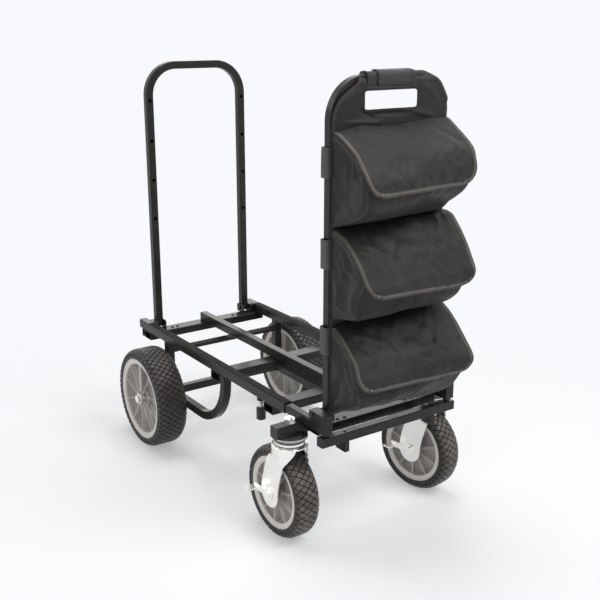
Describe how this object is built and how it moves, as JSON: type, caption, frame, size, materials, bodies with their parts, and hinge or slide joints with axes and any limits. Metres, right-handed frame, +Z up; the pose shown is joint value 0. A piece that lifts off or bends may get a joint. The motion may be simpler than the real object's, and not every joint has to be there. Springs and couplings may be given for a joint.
{
  "type": "equipment cart",
  "caption": "Telescoping, folding four-wheel equipment cart: tube deck, two upright handles, swivel casters with brakes, large rear wheels and a fabric pocket bag.",
  "frame": {"origin": "on the floor, at the middle of the cart's footprint in the retracted state", "axes": "+Z up, +X to the cart's right, -Y towards the caster and bag end"},
  "size_m": [0.5296, 0.9303, 0.9619],
  "materials": {
    "frame_paint": "semi-gloss black powder coat",
    "bright_steel": "plain plated steel",
    "zinc_plate": "bright zinc plate",
    "tyre_rubber": "matte black rubber",
    "grey_hub": "light grey satin",
    "black_plastic": "matte",
    "grip_rubber": "matte, ribbed",
    "bag_fabric": "woven charcoal"
  },
  "bodies": {
    "rear_frame": {"left_outer_rail": "frame_paint", "right_outer_rail": "frame_paint", "center_rail": "frame_paint", "rear_cross_tube": "frame_paint", "middle_cross_tube": "frame_paint", "forward_cross_tube": "frame_paint", "center_tie": "frame_paint", "wheel_legs": "frame_paint", "axle_tube": "frame_paint", "leg_brace": "frame_paint", "left_side_brace": "frame_paint", "right_side_brace": "frame_paint", "grip_strips": "grip_rubber", "rail_end_plugs": "black_plastic", "rear_bumpers": "grip_rubber", "wheel_axle_bolts": "bright_steel", "wheel_spacers": "bright_steel", "plunger_bosses": "frame_paint", "rear_hinge_brackets": "frame_paint", "frame_fasteners": "bright_steel"},
    "front_frame": {"inner_rails": "frame_paint", "caster_arm_tube": "frame_paint", "front_cross_tube": "frame_paint", "lower_front_bar": "frame_paint", "front_tube_plugs": "black_plastic", "corner_sockets": "frame_paint", "front_fasteners": "bright_steel", "front_spacers": "bright_steel", "caster_stems": "zinc_plate"},
    "rear_handle": {"rear_handle": "frame_paint"},
    "front_handle_and_bag": {"front_handle": "frame_paint", "bag_back_panel": "bag_fabric", "upper_pocket": "bag_fabric", "middle_pocket": "bag_fabric", "lower_pocket": "bag_fabric", "bag_straps": "bag_fabric", "handle_wrap": "bag_fabric"},
    "upper_flap": {"upper_flap": "bag_fabric"},
    "middle_flap": {"middle_flap": "bag_fabric"},
    "lower_flap": {"lower_flap": "bag_fabric"},
    "left_rear_wheel": {"left_rear_tyre": "tyre_rubber", "left_rear_rim": "grey_hub", "left_wheel_bearings": "bright_steel"},
    "left_caster": {"left_caster_fork": "zinc_plate", "left_caster_bolt": "zinc_plate"},
    "left_caster_wheel": {"left_caster_tyre": "tyre_rubber", "left_caster_rim": "grey_hub"},
    "left_brake": {"left_brake_pedal": "zinc_plate"},
    "left_lock": {"left_plunger": "black_plastic", "left_plunger_spring": "bright_steel"},
    "right_rear_wheel": {"right_rear_tyre": "tyre_rubber", "right_rear_rim": "grey_hub", "right_wheel_bearings": "bright_steel"},
    "right_caster": {"right_caster_fork": "zinc_plate", "right_caster_bolt": "zinc_plate"},
    "right_caster_wheel": {"right_caster_tyre": "tyre_rubber", "right_caster_rim": "grey_hub"},
    "right_brake": {"right_brake_pedal": "zinc_plate"},
    "right_lock": {"right_plunger": "black_plastic", "right_plunger_spring": "bright_steel"}
  },
  "joints": [
    {"name": "deck_extension", "type": "slide", "parent": "rear_frame", "child": "front_frame", "axis": [0, -1, 0], "range_m": [0, 0.457]},
    {"name": "rear_handle_fold", "type": "hinge", "parent": "rear_frame", "child": "rear_handle", "pos_m": [0, 0.4378, 0.2741], "axis": [1, 0, 0], "range_deg": [0, 90]},
    {"name": "front_handle_fold", "type": "hinge", "parent": "front_frame", "child": "front_handle_and_bag", "pos_m": [0, -0.3396, 0.2992], "axis": [-1, 0, 0], "range_deg": [0, 90]},
    {"name": "upper_flap_open", "type": "hinge", "parent": "front_handle_and_bag", "child": "upper_flap", "pos_m": [0, -0.3575, 0.86435], "axis": [-1, 0, 0], "range_deg": [0, 110]},
    {"name": "middle_flap_open", "type": "hinge", "parent": "front_handle_and_bag", "child": "middle_flap", "pos_m": [0, -0.3575, 0.67435], "axis": [-1, 0, 0], "range_deg": [0, 35]},
    {"name": "lower_flap_open", "type": "hinge", "parent": "front_handle_and_bag", "child": "lower_flap", "pos_m": [0, -0.3575, 0.48435], "axis": [-1, 0, 0], "range_deg": [0, 35]},
    {"name": "left_rear_wheel_spin", "type": "hinge", "parent": "rear_frame", "child": "left_rear_wheel", "pos_m": [-0.2205, 0.311, 0.127], "axis": [1, 0, 0], "continuous": true},
    {"name": "left_caster_swivel", "type": "hinge", "parent": "front_frame", "child": "left_caster", "pos_m": [-0.193, -0.2862, 0.22], "axis": [0, 0, 1], "continuous": true},
    {"name": "left_caster_wheel_spin", "type": "hinge", "parent": "left_caster", "child": "left_caster_wheel", "pos_m": [-0.19344, -0.2612, 0.1016], "axis": [0.9998, 0.0175, 0], "continuous": true},
    {"name": "left_brake_press", "type": "hinge", "parent": "left_caster", "child": "left_brake", "pos_m": [-0.19344, -0.2612, 0.1016], "axis": [-0.9998, -0.0175, 0], "range_deg": [0, 20]},
    {"name": "left_lock_pull", "type": "slide", "parent": "rear_frame", "child": "left_lock", "axis": [0, 0, -1], "range_m": [0, 0.006], "stiffness_N_per_m": 1500, "deforming": ["left_plunger_spring"]},
    {"name": "right_rear_wheel_spin", "type": "hinge", "parent": "rear_frame", "child": "right_rear_wheel", "pos_m": [0.2205, 0.311, 0.127], "axis": [1, 0, 0], "continuous": true},
    {"name": "right_caster_swivel", "type": "hinge", "parent": "front_frame", "child": "right_caster", "pos_m": [0.193, -0.2862, 0.22], "axis": [0, 0, 1], "continuous": true},
    {"name": "right_caster_wheel_spin", "type": "hinge", "parent": "right_caster", "child": "right_caster_wheel", "pos_m": [0.18909, -0.26151, 0.1016], "axis": [0.9877, 0.1564, 0], "continuous": true},
    {"name": "right_brake_press", "type": "hinge", "parent": "right_caster", "child": "right_brake", "pos_m": [0.18909, -0.26151, 0.1016], "axis": [-0.9877, -0.1564, 0], "range_deg": [0, 20]},
    {"name": "right_lock_pull", "type": "slide", "parent": "rear_frame", "child": "right_lock", "axis": [0, 0, -1], "range_m": [0, 0.006], "stiffness_N_per_m": 1500, "deforming": ["right_plunger_spring"]}
  ]
}
